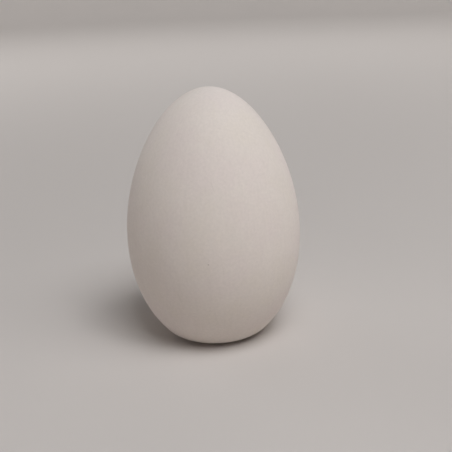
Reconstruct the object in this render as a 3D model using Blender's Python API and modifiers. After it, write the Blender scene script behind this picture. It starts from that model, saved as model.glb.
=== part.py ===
"""An egg of goose-egg size, standing point up on the flat seat at its blunt end.

One closed solid in metres, +Z up. The origin is the centre of the seat, and Z is the egg's long axis.
"""

import math

import bpy

# Sizes of the egg, in metres
EGG_LENGTH = 0.0897          # pole to pole, as it would be with no flat at the blunt end
EGG_BREADTH = 0.0580         # across the widest place
SEAT_DIAMETER = 0.0221       # the flat spot that the egg stands on
SEAT_EDGE_RADIUS = 0.0100    # soft shoulder where the seat turns up into the side

# Shape of the outline, as shares of its half-breadth
TAPER = 0.103                # how far the pointed end is drawn in and the blunt end filled out
POLE_DRAW_IN = 0.040         # how far both ends are drawn in alike

# How finely the surface is divided
SIDE_STEPS = 34              # from the pointed end down to the seat's shoulder
EDGE_STEPS = 8               # round the shoulder
TURN_STEPS = 80              # around the long axis
WIDEST_SAMPLES = 2000        # places tried for the widest one
SOLVE_STEPS = 60             # halvings when looking for the place where the shoulder starts

SHELL_COLOUR = (0.74, 0.68, 0.63, 1.0)
SHELL_ROUGHNESS = 0.62

UPPER_POLE = math.pi / 2
LOWER_POLE = -math.pi / 2


def clear_scene():
    """Removes what a new Blender file holds."""
    for thing in list(bpy.data.objects):
        bpy.data.objects.remove(thing, do_unlink=True)


# Outline of a natural egg

def relative_radius(angle):
    """Radius at an angle up from mid-length, where a sphere of radius one would have its cosine."""
    rise = math.sin(angle)
    return math.cos(angle) * (1.0 - TAPER * rise - POLE_DRAW_IN * rise * rise)


def widest_radius():
    """The largest relative radius, which the egg's half-breadth is set against."""
    span = UPPER_POLE - LOWER_POLE
    return max(relative_radius(LOWER_POLE + span * i / WIDEST_SAMPLES) for i in range(WIDEST_SAMPLES + 1))


def outline_point(angle, widest):
    """Radius and height above mid-length of the outline at an angle, in metres."""
    radius = EGG_BREADTH / 2 * relative_radius(angle) / widest
    return radius, EGG_LENGTH / 2 * math.sin(angle)


def outward_angle(angle, widest):
    """Direction of the outline's outward normal, as an angle up from level."""
    step = 1e-5
    radius_above, height_above = outline_point(angle + step, widest)
    radius_below, height_below = outline_point(angle - step, widest)
    return math.atan2(radius_below - radius_above, height_above - height_below)


# Flat seat and its rounded shoulder

def shoulder_centre(angle, widest):
    """Centre of the shoulder's rounding if it left the outline at this angle."""
    radius, height = outline_point(angle, widest)
    facing = outward_angle(angle, widest)
    return radius - SEAT_EDGE_RADIUS * math.cos(facing), height - SEAT_EDGE_RADIUS * math.sin(facing)


def shoulder_start(widest):
    """Angle on the lower outline at which the shoulder starts, for a seat of the wanted diameter."""
    low, high = LOWER_POLE, 0.0
    for _ in range(SOLVE_STEPS):
        middle = (low + high) / 2
        if shoulder_centre(middle, widest)[0] < SEAT_DIAMETER / 2:
            low = middle
        else:
            high = middle
    return high


def profile_points():
    """The egg's half outline from the upper pole down its side, round the shoulder and in to the axis."""
    widest = widest_radius()
    start = shoulder_start(widest)
    centre_radius, centre_height = shoulder_centre(start, widest)
    seat_height = centre_height - SEAT_EDGE_RADIUS
    points = [(0.0, EGG_LENGTH / 2)]
    for i in range(1, SIDE_STEPS + 1):
        points.append(outline_point(UPPER_POLE + (start - UPPER_POLE) * i / SIDE_STEPS, widest))
    facing = outward_angle(start, widest)
    for i in range(1, EDGE_STEPS + 1):
        turned = facing + (LOWER_POLE - facing) * i / EDGE_STEPS
        points.append((centre_radius + SEAT_EDGE_RADIUS * math.cos(turned),
                       centre_height + SEAT_EDGE_RADIUS * math.sin(turned)))
    points.append((0.0, seat_height))
    return [(radius, height - seat_height) for radius, height in points]


# The turned solid and its shell

def shell_material():
    """Matt, pale, faintly warm eggshell."""
    material = bpy.data.materials.new("eggshell")
    material.use_nodes = True
    shader = material.node_tree.nodes["Principled BSDF"]
    shader.inputs["Base Color"].default_value = SHELL_COLOUR
    shader.inputs["Roughness"].default_value = SHELL_ROUGHNESS
    shader.inputs["Metallic"].default_value = 0.0
    return material


def add_turning(egg):
    """Turns the half outline once round the long axis and closes it at both poles."""
    turning = egg.modifiers.new("turning", "SCREW")
    turning.axis = "Z"
    turning.angle = 2 * math.pi
    turning.steps = TURN_STEPS
    turning.render_steps = TURN_STEPS
    turning.use_merge_vertices = True
    turning.merge_threshold = 0.00001
    turning.use_smooth_shade = True


def make_egg(collection):
    """The egg, as one turned solid that stands on its seat at the origin."""
    profile = bpy.data.meshes.new("egg_outline")
    vertices = [(radius, 0.0, height) for radius, height in profile_points()]
    profile.from_pydata(vertices, [(i, i + 1) for i in range(len(vertices) - 1)], [])
    profile.materials.append(shell_material())
    egg = bpy.data.objects.new("egg", profile)
    collection.objects.link(egg)
    add_turning(egg)
    return egg


clear_scene()
egg_collection = bpy.data.collections.new("egg")
bpy.context.scene.collection.children.link(egg_collection)
make_egg(egg_collection)
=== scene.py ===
"""An egg of goose-egg size, standing point up on the flat seat at its blunt end, in a pale studio.

Everything is in metres. +Z is up, and it is the egg's long axis. The origin is the middle of the seat.
"""

import math

import bpy
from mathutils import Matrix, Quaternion, Vector


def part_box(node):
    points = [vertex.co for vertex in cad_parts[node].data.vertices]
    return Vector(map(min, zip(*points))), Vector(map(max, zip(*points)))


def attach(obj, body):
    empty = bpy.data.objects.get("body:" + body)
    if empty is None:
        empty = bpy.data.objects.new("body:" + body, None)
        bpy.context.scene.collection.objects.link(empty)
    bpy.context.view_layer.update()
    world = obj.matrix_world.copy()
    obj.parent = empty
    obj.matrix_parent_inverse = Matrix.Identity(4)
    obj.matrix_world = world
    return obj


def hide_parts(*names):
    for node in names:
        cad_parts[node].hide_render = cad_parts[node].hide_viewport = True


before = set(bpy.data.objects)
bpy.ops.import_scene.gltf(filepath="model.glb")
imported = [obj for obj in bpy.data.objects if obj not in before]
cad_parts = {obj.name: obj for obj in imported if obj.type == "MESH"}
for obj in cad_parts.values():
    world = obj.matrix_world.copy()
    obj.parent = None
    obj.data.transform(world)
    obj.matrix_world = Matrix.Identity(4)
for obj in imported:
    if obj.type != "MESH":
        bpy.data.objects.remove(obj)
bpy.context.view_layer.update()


# Eggshell
# The shell is chalky white calcite, which the bird lays down in one piece round the egg.
# It is the same all round its long axis, drawn in at the point and full at the blunt end.
# There it is flattened to a seat with a soft shoulder, on which the egg stands by itself.

egg_low, egg_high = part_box("egg")
EGG_BREADTH = egg_high.x - egg_low.x     # across the widest place
STANDING_HEIGHT = egg_high.z - egg_low.z
EGG_LENGTH = 0.0897                      # pole to pole, as it would be with no seat
SHOULDER_RADIUS = 0.0100                 # where the seat turns up into the side
TAPER = 0.103                            # how far the point is drawn in and the blunt end filled out
POLE_DRAW_IN = 0.040                     # how far both ends are drawn in alike
MIDDLE_HEIGHT = STANDING_HEIGHT - EGG_LENGTH / 2

LOWER_POLE = -math.pi / 2
WIDEST_SAMPLES = 2000                    # places tried for the widest one
SOLVE_STEPS = 60                         # halvings when looking for the place where the shoulder starts

FACES_PER_SIDE = 128                     # of each of the six square patches that cover the egg
SWELL_SIZE = 0.026                       # slow swells, which leave the egg slightly out of round
SWELL_HEIGHT = 0.00010
RIPPLE_SIZE = 0.0024                     # faint ripples, which run from pole to pole
RIPPLE_LENGTH = 0.024
RIPPLE_HEIGHT = 0.000007
GRAIN_SIZE = 0.0017                      # low chalky grains
GRAIN_HEIGHT = 0.000012
RIPPLE_FADE = (0.005, 0.015)             # distances from the axis between which the ripples come in
SEAT_FADE = (0.0005, 0.0060)             # heights above the seat between which the relief comes in
RELIEF_SEED = 4.0


def relative_radius(angle):
    """Radius at an angle up from mid-length, where a sphere of radius one would have its cosine."""
    rise = math.sin(angle)
    return math.cos(angle) * (1 - TAPER * rise - POLE_DRAW_IN * rise * rise)


def widest_radius():
    """The largest relative radius, which the egg's half-breadth is set against."""
    return max(relative_radius(LOWER_POLE + math.pi * i / WIDEST_SAMPLES) for i in range(WIDEST_SAMPLES + 1))


def outline_point(angle, widest):
    """Distance from the axis and height above the seat of the outline as it would be with no seat."""
    radius = EGG_BREADTH / 2 * relative_radius(angle) / widest
    return radius, MIDDLE_HEIGHT + EGG_LENGTH / 2 * math.sin(angle)


def outward_angle(angle, widest):
    """Direction of the outline's outward normal, as an angle up from level."""
    step = 1e-5
    radius_above, height_above = outline_point(angle + step, widest)
    radius_below, height_below = outline_point(angle - step, widest)
    return math.atan2(radius_below - radius_above, height_above - height_below)


def shoulder_centre(angle, widest):
    """Centre of the shoulder's rounding if it left the outline at this angle."""
    radius, height = outline_point(angle, widest)
    facing = outward_angle(angle, widest)
    return radius - SHOULDER_RADIUS * math.cos(facing), height - SHOULDER_RADIUS * math.sin(facing)


def shoulder_start(widest):
    """Angle on the lower outline from which the shoulder's rounding just reaches down to the seat."""
    low, high = LOWER_POLE, 0.0
    for _ in range(SOLVE_STEPS):
        middle = (low + high) / 2
        if shoulder_centre(middle, widest)[1] < SHOULDER_RADIUS:
            low = middle
        else:
            high = middle
    return high


class Wire:
    """An output socket. Python's operators on it add Math or Vector Math nodes to its tree."""

    def __init__(self, nodes, socket):
        self.nodes = nodes
        self.socket = socket

    def __add__(self, other):
        return self.nodes.math("ADD", self, other)

    def __radd__(self, other):
        return self.nodes.math("ADD", other, self)

    def __sub__(self, other):
        return self.nodes.math("SUBTRACT", self, other)

    def __rsub__(self, other):
        return self.nodes.math("SUBTRACT", other, self)

    def __mul__(self, other):
        return self.nodes.math("MULTIPLY", self, other)

    def __rmul__(self, other):
        return self.nodes.math("MULTIPLY", other, self)

    def __truediv__(self, other):
        return self.nodes.math("DIVIDE", self, other)

    def __rtruediv__(self, other):
        return self.nodes.math("DIVIDE", other, self)


class Nodes:
    """Adds nodes to one tree, which makes a mesh or a material."""

    def __init__(self, tree):
        self.tree = tree

    def add(self, kind, settings=None, values=None, output=None):
        """Adds a node with its settings and socket values, and returns the named output, or the first."""
        node = self.tree.nodes.new(kind)
        for name, setting in (settings or {}).items():
            setattr(node, name, setting)
        inputs = [socket for socket in node.inputs if socket.enabled]
        for key, value in (values or {}).items():
            socket = inputs[key] if isinstance(key, int) else next(s for s in inputs if s.name == key)
            if isinstance(value, Wire):
                self.tree.links.new(value.socket, socket)
            elif socket.type == "VECTOR" and isinstance(value, (int, float)):
                socket.default_value = (value, value, value)
            else:
                socket.default_value = value
        outputs = [s for s in node.outputs if s.enabled and output in (None, s.name)]
        return Wire(self, outputs[0]) if outputs else None

    def math(self, operation, *values):
        """A Math node, or a Vector Math node if one of the values is a vector."""
        vectors = any(isinstance(value, Wire) and value.socket.type == "VECTOR" for value in values)
        kind = "ShaderNodeVectorMath" if vectors else "ShaderNodeMath"
        return self.add(kind, {"operation": operation}, dict(enumerate(values)))

    def parts(self, vector):
        """The X, Y and Z of a vector."""
        split = self.add("ShaderNodeSeparateXYZ", values={0: vector})
        return [Wire(self, socket) for socket in split.socket.node.outputs]

    def vector(self, x, y, z):
        """A vector from three numbers."""
        return self.add("ShaderNodeCombineXYZ", values={0: x, 1: y, 2: z})

    def rise(self, value, start, end):
        """Nought where the value is below start, one where it is above end, and smooth between them."""
        limits = {"Value": value, "From Min": start, "From Max": end}
        return self.add("ShaderNodeMapRange", {"interpolation_type": "SMOOTHSTEP"}, limits)

    def noise(self, place, seed, detail=0.0):
        """Soft random values from about -0.5 to 0.5, whose patches are about one unit of the place broad."""
        values = {"Vector": place, "W": seed, "Scale": 1.0, "Detail": detail}
        return self.add("ShaderNodeTexNoise", {"noise_dimensions": "4D"}, values) - 0.5

    def along_axis(self, place, across, along):
        """A place on the egg as distances round and along its axis, in shares of a width and a length."""
        x, y, z = self.parts(place)
        outward = self.math("NORMALIZE", self.vector(x, y, 0.0))
        return outward * (EGG_BREADTH / 2 / across) + self.vector(0.0, 0.0, z / along)

    def off_axis(self, place, start, end):
        """Nought near the poles, one further from the axis than end, and smooth between them."""
        return self.rise(self.math("LENGTH", place * (1.0, 1.0, 0.0)), start, end)


def shell_sizes():
    """What the shell's tree is given, by the names of its inputs."""
    widest = widest_radius()
    start = shoulder_start(widest)
    return {
        "Faces Per Side": FACES_PER_SIDE,
        "Breadth": EGG_BREADTH / widest,
        "Length": EGG_LENGTH,
        "Middle Height": MIDDLE_HEIGHT,
        "Taper": TAPER,
        "Pole Draw In": POLE_DRAW_IN,
        "Shoulder Radius": SHOULDER_RADIUS,
        "Shoulder Start": start,
        "Shoulder Facing": outward_angle(start, widest),
        "Seat Radius": shoulder_centre(start, widest)[0],
        "Swell Height": SWELL_HEIGHT,
        "Ripple Height": RIPPLE_HEIGHT,
        "Grain Height": GRAIN_HEIGHT,
        "Seed": RELIEF_SEED,
    }


def add_outline(nodes, size):
    """Covers the egg with the six patches of a cube's faces, laid on its outline."""
    corners = size["Faces Per Side"] + 1
    cube = nodes.add("GeometryNodeMeshCube", values={"Size": 2.0, 1: corners, 2: corners, 3: corners})

    # The tangent spreads the faces nearly evenly over a ball
    spread = nodes.math("TANGENT", nodes.add("GeometryNodeInputPosition") * (math.pi / 4))
    level = spread * (1.0, 1.0, 0.0)
    angle = nodes.math("ARCTAN2", nodes.parts(spread)[2], nodes.math("LENGTH", level))

    # Side of the egg
    rise = nodes.math("SINE", angle)
    drawn_in = 1 - size["Taper"] * rise - size["Pole Draw In"] * rise * rise
    side_radius = size["Breadth"] / 2 * nodes.math("COSINE", angle) * drawn_in
    side_height = size["Middle Height"] + size["Length"] / 2 * rise

    # Shoulder, and then the seat from it in to the axis
    arc = (size["Shoulder Facing"] - LOWER_POLE) * size["Shoulder Radius"]
    share = (size["Shoulder Start"] - angle) / (size["Shoulder Start"] - LOWER_POLE)
    walked = share * (arc + size["Seat Radius"])
    turned = size["Shoulder Facing"] - nodes.math("MINIMUM", walked, arc) / size["Shoulder Radius"]
    past_arc = nodes.math("MAXIMUM", walked - arc, 0.0)
    low_radius = size["Seat Radius"] + size["Shoulder Radius"] * nodes.math("COSINE", turned) - past_arc
    low_height = size["Shoulder Radius"] * (nodes.math("SINE", turned) + 1)

    on_side = nodes.math("GREATER_THAN", angle, size["Shoulder Start"])
    radius = low_radius + on_side * (side_radius - low_radius)
    height = low_height + on_side * (side_height - low_height)
    place = nodes.math("NORMALIZE", level) * radius + nodes.vector(0.0, 0.0, height)
    return nodes.add("GeometryNodeSetPosition", values={"Geometry": cube, "Position": place})


def add_relief(nodes, size, egg):
    """Raises the slow swells, the ripples from pole to pole and the low grains along the normal."""
    place = nodes.add("GeometryNodeInputPosition")
    swell = nodes.noise(place / SWELL_SIZE, size["Seed"]) * size["Swell Height"]
    ripple = nodes.noise(nodes.along_axis(place, RIPPLE_SIZE, RIPPLE_LENGTH), size["Seed"], detail=1.0)
    ripple = ripple * size["Ripple Height"] * nodes.off_axis(place, *RIPPLE_FADE)
    grain = nodes.noise(place / GRAIN_SIZE, size["Seed"]) * size["Grain Height"]
    above_seat = nodes.rise(nodes.parts(place)[2], *SEAT_FADE)
    normal = nodes.add("GeometryNodeInputNormal")
    raised = normal * ((swell + ripple + grain) * above_seat)
    return nodes.add("GeometryNodeSetPosition", values={"Geometry": egg, "Offset": raised})


def shell_tree(sizes, material):
    """The tree that makes the shell, and the identifiers of its named inputs."""
    tree = bpy.data.node_groups.new("shell", "GeometryNodeTree")
    kinds = {int: "NodeSocketInt", float: "NodeSocketFloat"}
    identifiers = {}
    for name, size in sizes.items():
        socket = tree.interface.new_socket(name, in_out="INPUT", socket_type=kinds[type(size)])
        identifiers[name] = socket.identifier
    tree.interface.new_socket("Shell", in_out="OUTPUT", socket_type="NodeSocketGeometry")

    nodes = Nodes(tree)
    given = nodes.add("NodeGroupInput").socket.node
    size = {name: Wire(nodes, given.outputs[name]) for name in sizes}
    egg = add_relief(nodes, size, add_outline(nodes, size))
    egg = nodes.add("GeometryNodeSetShadeSmooth", values={"Geometry": egg})
    egg = nodes.add("GeometryNodeRealizeInstances", values={"Geometry": egg})
    egg = nodes.add("GeometryNodeSetMaterial", values={"Geometry": egg, "Material": material})
    nodes.add("NodeGroupOutput", values={"Shell": egg})
    return tree, identifiers


SHELL_PALE = (0.770, 0.706, 0.658, 1.0)
SHELL_MAUVE = (0.764, 0.690, 0.654, 1.0)
SHELL_SAND = (0.762, 0.698, 0.641, 1.0)
MAUVE_RANGE = (-0.25, 0.25)              # patch values between which the mauve tint comes in
SAND_RANGE = (-0.10, 0.35)               # and the sandy one
SHELL_ROUGHNESS = 0.62
ROUGHNESS_CHANGE = 0.12                  # from patch to patch
CHALKINESS = 0.2                         # how evenly the surface scatters light, as powder does
SHELL_GLOSS = 0.15

MOTTLE_SIZE = 0.0052                     # cloudy patches of the two faint tints
CLOUD_SIZE = 0.0170
STREAK_SIZE = 0.00095                    # faint streaks from pole to pole, finer than the ripples
STREAK_LENGTH = 0.0085
STREAK_DEPTH = 0.048
POWDER_SIZE = 0.00085                    # flecks of the powdery surface, a little darker or paler
POWDER_DEPTH = 0.140
FINE_GRAIN_SIZE = 0.00032                # bump of the powdery surface
FINE_GRAIN_HEIGHT = 0.000010
PORE_SPACING = 0.00135                   # between the middles of the cells that hold one pore each
PORE_FADE = (0.00006, 0.00012)           # distances from a pore's middle between which it ends
PORE_DEPTH = 0.000012
PORE_TINT = 0.25                         # how far a pore is turned to the scuffs' colour
SPECK_COLOUR = (0.330, 0.270, 0.225, 1.0)
SPECK_PLACE = (-0.00210, -0.02891, 0.03398)
SPECK_FADE = (0.00008, 0.00032)          # distances from its middle between which the speck ends
SPECK_TINT = 0.55
MATERIAL_SEED = 11.0

# Hairline scuffs, each a little darker than the shell: its two ends, and its strength
SCUFF_COLOUR = (0.560, 0.510, 0.470, 1.0)
SCUFF_WIDTH = 0.00034
SCUFFS = (
    ((-0.00019, -0.02454, 0.05872), (0.00061, -0.02545, 0.05612), 0.17),
    ((0.00181, -0.02893, 0.03603), (0.00255, -0.02875, 0.03071), 0.13),
    ((-0.01199, -0.02510, 0.02301), (-0.01087, -0.02492, 0.02034), 0.10),
    ((-0.00969, -0.02509, 0.05125), (-0.00976, -0.02628, 0.04589), 0.10),
)


def scuff_mask(nodes, place, start, end):
    """One on the line between two points of the surface, nought a scuff's width away from it."""
    along = Vector(end) - Vector(start)
    share = nodes.math("DOT_PRODUCT", place - tuple(start), tuple(along / along.length_squared))
    share = nodes.math("MINIMUM", nodes.math("MAXIMUM", share, 0.0), 1.0)
    nearest = nodes.vector(*(start[i] + share * along[i] for i in range(3)))
    return 1 - nodes.rise(nodes.math("LENGTH", place - nearest), 0.0, SCUFF_WIDTH)


def tint(nodes, share, colour, other):
    """A colour turned into another one by a share."""
    return nodes.add("ShaderNodeMix", {"data_type": "RGBA"}, {"Factor": share, "A": colour, "B": other})


def eggshell_material():
    """Matt, chalky shell with faint tints, streaks from pole to pole, flecks, pores, a speck and scuffs."""
    material = bpy.data.materials.new("eggshell")
    material.use_nodes = True
    material.node_tree.nodes.clear()
    nodes = Nodes(material.node_tree)
    place = nodes.add("ShaderNodeTexCoord", output="Object")

    # Tints
    mottle = nodes.noise(place / MOTTLE_SIZE, MATERIAL_SEED, detail=2.0)
    cloud = nodes.noise(place / CLOUD_SIZE, MATERIAL_SEED + 1, detail=1.0)
    streak = nodes.noise(nodes.along_axis(place, STREAK_SIZE, STREAK_LENGTH), MATERIAL_SEED + 2, detail=2.0)
    streak = streak * nodes.off_axis(place, *RIPPLE_FADE)
    colour = tint(nodes, nodes.rise(cloud + mottle, *MAUVE_RANGE), SHELL_PALE, SHELL_MAUVE)
    colour = tint(nodes, nodes.rise(mottle - cloud, *SAND_RANGE), colour, SHELL_SAND)
    powder = nodes.noise(place / POWDER_SIZE, MATERIAL_SEED + 4, detail=2.0)
    shade = 1 + streak * STREAK_DEPTH + powder * POWDER_DEPTH
    colour = nodes.add("ShaderNodeVectorMath", {"operation": "SCALE"}, {"Vector": colour, "Scale": shade})

    # Pores, speck and scuffs
    cells = {"Vector": place, "Scale": 1 / PORE_SPACING}
    pore_distance = nodes.add("ShaderNodeTexVoronoi", {"feature": "F1"}, cells) * PORE_SPACING
    pore = 1 - nodes.rise(pore_distance, *PORE_FADE)
    colour = tint(nodes, pore * PORE_TINT, colour, SCUFF_COLOUR)
    speck = 1 - nodes.rise(nodes.math("DISTANCE", place, SPECK_PLACE), *SPECK_FADE)
    colour = tint(nodes, speck * SPECK_TINT, colour, SPECK_COLOUR)
    for start, end, strength in SCUFFS:
        colour = tint(nodes, scuff_mask(nodes, place, start, end) * strength, colour, SCUFF_COLOUR)

    # Bump
    fine_grain = nodes.noise(place / FINE_GRAIN_SIZE, MATERIAL_SEED + 3, detail=1.5) * FINE_GRAIN_HEIGHT
    height = fine_grain - pore * PORE_DEPTH
    bump = nodes.add("ShaderNodeBump", values={"Strength": 1.0, "Distance": 1.0, "Height": height})

    shader = nodes.add("ShaderNodeBsdfPrincipled", values={
        "Base Color": colour,
        "Roughness": SHELL_ROUGHNESS + mottle * ROUGHNESS_CHANGE,
        "Diffuse Roughness": CHALKINESS,
        "Specular IOR Level": SHELL_GLOSS,
        "Normal": bump,
    })
    nodes.add("ShaderNodeOutputMaterial", values={"Surface": shader})
    return material


def make_shell():
    """The visible shell, as one closed mesh in the place of the egg's plain solid."""
    sizes = shell_sizes()
    tree, identifiers = shell_tree(sizes, eggshell_material())
    base = bpy.data.objects.new("shell_base", bpy.data.meshes.new("shell_base"))
    bpy.context.scene.collection.objects.link(base)
    covering = base.modifiers.new("covering", "NODES")
    covering.node_group = tree
    for name, identifier in identifiers.items():
        covering[identifier] = sizes[name]
    graph = bpy.context.evaluated_depsgraph_get()
    mesh = bpy.data.meshes.new_from_object(base.evaluated_get(graph))
    bpy.data.objects.remove(base)
    shell = bpy.data.objects.new("egg_shell", mesh)
    bpy.context.scene.collection.objects.link(shell)
    return shell


shell = make_shell()
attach(shell, "root")
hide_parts("egg")


# Studio floor
# A plain pale sheet under the egg, which turns up into a wall all round, with no edge in sight.
# It is painted matt, so that it returns soft light and no reflection.

FLOOR_RADIUS = 1.5
FLOOR_BEND = 0.8                         # radius with which the floor turns up into the wall
WALL_HEIGHT = 0.1                        # above the bend
BEND_STEPS = 24
FLOOR_TURN_STEPS = 128
MERGE_DISTANCE = 0.0001
FLOOR_COLOUR = (0.640, 0.598, 0.570, 1.0)
FLOOR_ROUGHNESS = 0.9
FLOOR_GLOSS = 0.1


def floor_profile():
    """The floor's half section, from the middle out, round the bend and up the wall."""
    points = [(0.0, 0.0, 0.0)]
    for i in range(BEND_STEPS + 1):
        angle = math.pi / 2 * i / BEND_STEPS
        across = FLOOR_RADIUS + FLOOR_BEND * math.sin(angle)
        points.append((across, 0.0, FLOOR_BEND * (1 - math.cos(angle))))
    points.append((FLOOR_RADIUS + FLOOR_BEND, 0.0, FLOOR_BEND + WALL_HEIGHT))
    return points


def make_floor():
    """The floor and wall, turned round the upright axis."""
    mesh = bpy.data.meshes.new("studio_floor")
    points = floor_profile()
    mesh.from_pydata(points, [(i, i + 1) for i in range(len(points) - 1)], [])
    floor = bpy.data.objects.new("studio_floor", mesh)
    bpy.context.scene.collection.objects.link(floor)
    turning = floor.modifiers.new("turning", "SCREW")
    turning.steps = FLOOR_TURN_STEPS
    turning.render_steps = FLOOR_TURN_STEPS
    turning.use_merge_vertices = True
    turning.merge_threshold = MERGE_DISTANCE
    turning.use_smooth_shade = True
    paint = bpy.data.materials.new("floor_paint")
    paint.use_nodes = True
    shader = paint.node_tree.nodes["Principled BSDF"]
    shader.inputs["Base Color"].default_value = FLOOR_COLOUR
    shader.inputs["Roughness"].default_value = FLOOR_ROUGHNESS
    shader.inputs["Specular IOR Level"].default_value = FLOOR_GLOSS
    mesh.materials.append(paint)
    return floor


make_floor()


# Studio light
# Soft panels: the key and a second one high at the right and in front, a weak one low at the left
# and behind, and the weakest at the back. A ring of panels overhead faces outwards and lights the wall
# all round, and the room gives the rest.

PANEL_DISTANCE = 1.1                     # from the middle of the egg
PANEL_WIDTH = 0.62
RING_PANELS = 8
RING_RADIUS = 0.8
RING_HEIGHT = 1.3
RING_TILT = math.radians(28)             # how far the ring's panels look down at the wall
RING_WATTS = 6.4
RING_COLOUR = (1.0, 1.0, 1.0)
ROOM_COLOUR = (1.0, 1.0, 1.0, 1.0)
ROOM_STRENGTH = 0.02

# Name, turn from the camera's side towards its right, height angle (both in degrees), watts, colour
PANELS = (
    ("key", 25, 62, 6.65, (0.985, 1.0, 1.02)),
    ("side", 60, 56, 2.9, (1.0, 1.0, 1.0)),
    ("left", -128, 20, 1.5, (1.0, 1.0, 1.0)),
    ("back", 172, 34, 0.7, (1.0, 1.0, 1.0)),
)


def way_to(turn, rise):
    """Direction from the egg at a turn from the camera's side and an angle above level."""
    return Vector((math.sin(turn) * math.cos(rise), -math.cos(turn) * math.cos(rise), math.sin(rise)))


def add_panel(name, place, facing, watts, colour):
    """A square soft light that faces one way."""
    light = bpy.data.lights.new(name, "AREA")
    light.shape = "SQUARE"
    light.size = PANEL_WIDTH
    light.energy = watts
    light.color = colour
    panel = bpy.data.objects.new(name, light)
    bpy.context.scene.collection.objects.link(panel)
    panel.location = place
    panel.rotation_euler = facing.to_track_quat("-Z", "Y").to_euler()
    panel.visible_camera = False


for name, turn, rise, watts, colour in PANELS:
    way = way_to(math.radians(turn), math.radians(rise))
    add_panel(name, Vector((0.0, 0.0, MIDDLE_HEIGHT)) + way * PANEL_DISTANCE, -way, watts, colour)

for i in range(RING_PANELS):
    turn = 2 * math.pi * i / RING_PANELS
    place = way_to(turn, 0.0) * RING_RADIUS + Vector((0.0, 0.0, RING_HEIGHT))
    add_panel(f"wall_{i + 1}", place, way_to(turn, -RING_TILT), RING_WATTS, RING_COLOUR)

room = bpy.data.worlds.new("room")
room.use_nodes = True
room.node_tree.nodes["Background"].inputs["Color"].default_value = ROOM_COLOUR
room.node_tree.nodes["Background"].inputs["Strength"].default_value = ROOM_STRENGTH
bpy.context.scene.world = room


# Camera
# It stands straight in front and looks down on the egg, with its aim a little to one side of the
# long axis, and it leans slightly, so that the egg's point leans to the left of the picture.

VIEW_RISE = math.radians(17.5)           # how far it looks down
VIEW_LEAN = math.radians(2.2)
VIEW_DISTANCE = 0.2807                   # from the egg's mid-length
VIEW_LENS = 66.5                         # mm
SENSOR_WIDTH = 36.0                      # mm
AIM = Vector((0.00420, -0.00061, 0.03704))

camera_lens = bpy.data.cameras.new("camera")
camera_lens.lens = VIEW_LENS
camera_lens.sensor_width = SENSOR_WIDTH
camera = bpy.data.objects.new("camera", camera_lens)
bpy.context.scene.collection.objects.link(camera)
camera.location = (
    0.0,
    -VIEW_DISTANCE * math.cos(VIEW_RISE),
    MIDDLE_HEIGHT + VIEW_DISTANCE * math.sin(VIEW_RISE),
)
level_view = (AIM - camera.location).to_track_quat("-Z", "Y")
camera.rotation_mode = "QUATERNION"
camera.rotation_quaternion = level_view @ Quaternion((0.0, 0.0, 1.0), -VIEW_LEAN)
bpy.context.scene.camera = camera
bpy.context.scene.view_settings.view_transform = "Standard"
